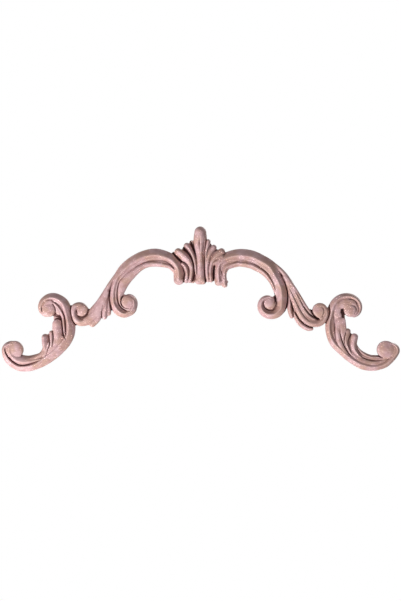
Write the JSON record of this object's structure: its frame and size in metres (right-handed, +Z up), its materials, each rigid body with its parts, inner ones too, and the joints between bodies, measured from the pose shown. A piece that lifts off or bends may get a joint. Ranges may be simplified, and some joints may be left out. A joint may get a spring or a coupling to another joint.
{
  "type": "carved applique",
  "caption": "Arched scrollwork applique with a small leafy crest, carved in relief and flat at the back to lie on a panel or a frame.",
  "frame": {"origin": "on the flat back, behind the middle of the crest", "axes": "+X to the right along the length, +Z up towards the tip of the crest, +Y out of the flat back; the carved face looks towards -Y"},
  "size_m": [0.4988, 0.0139, 0.1816],
  "materials": {
    "carved_wood": "bare sanded wood, matt, pinkish tan, with darker creases"
  },
  "bodies": {
    "root": {"applique": "carved_wood"}
  },
  "joints": []
}
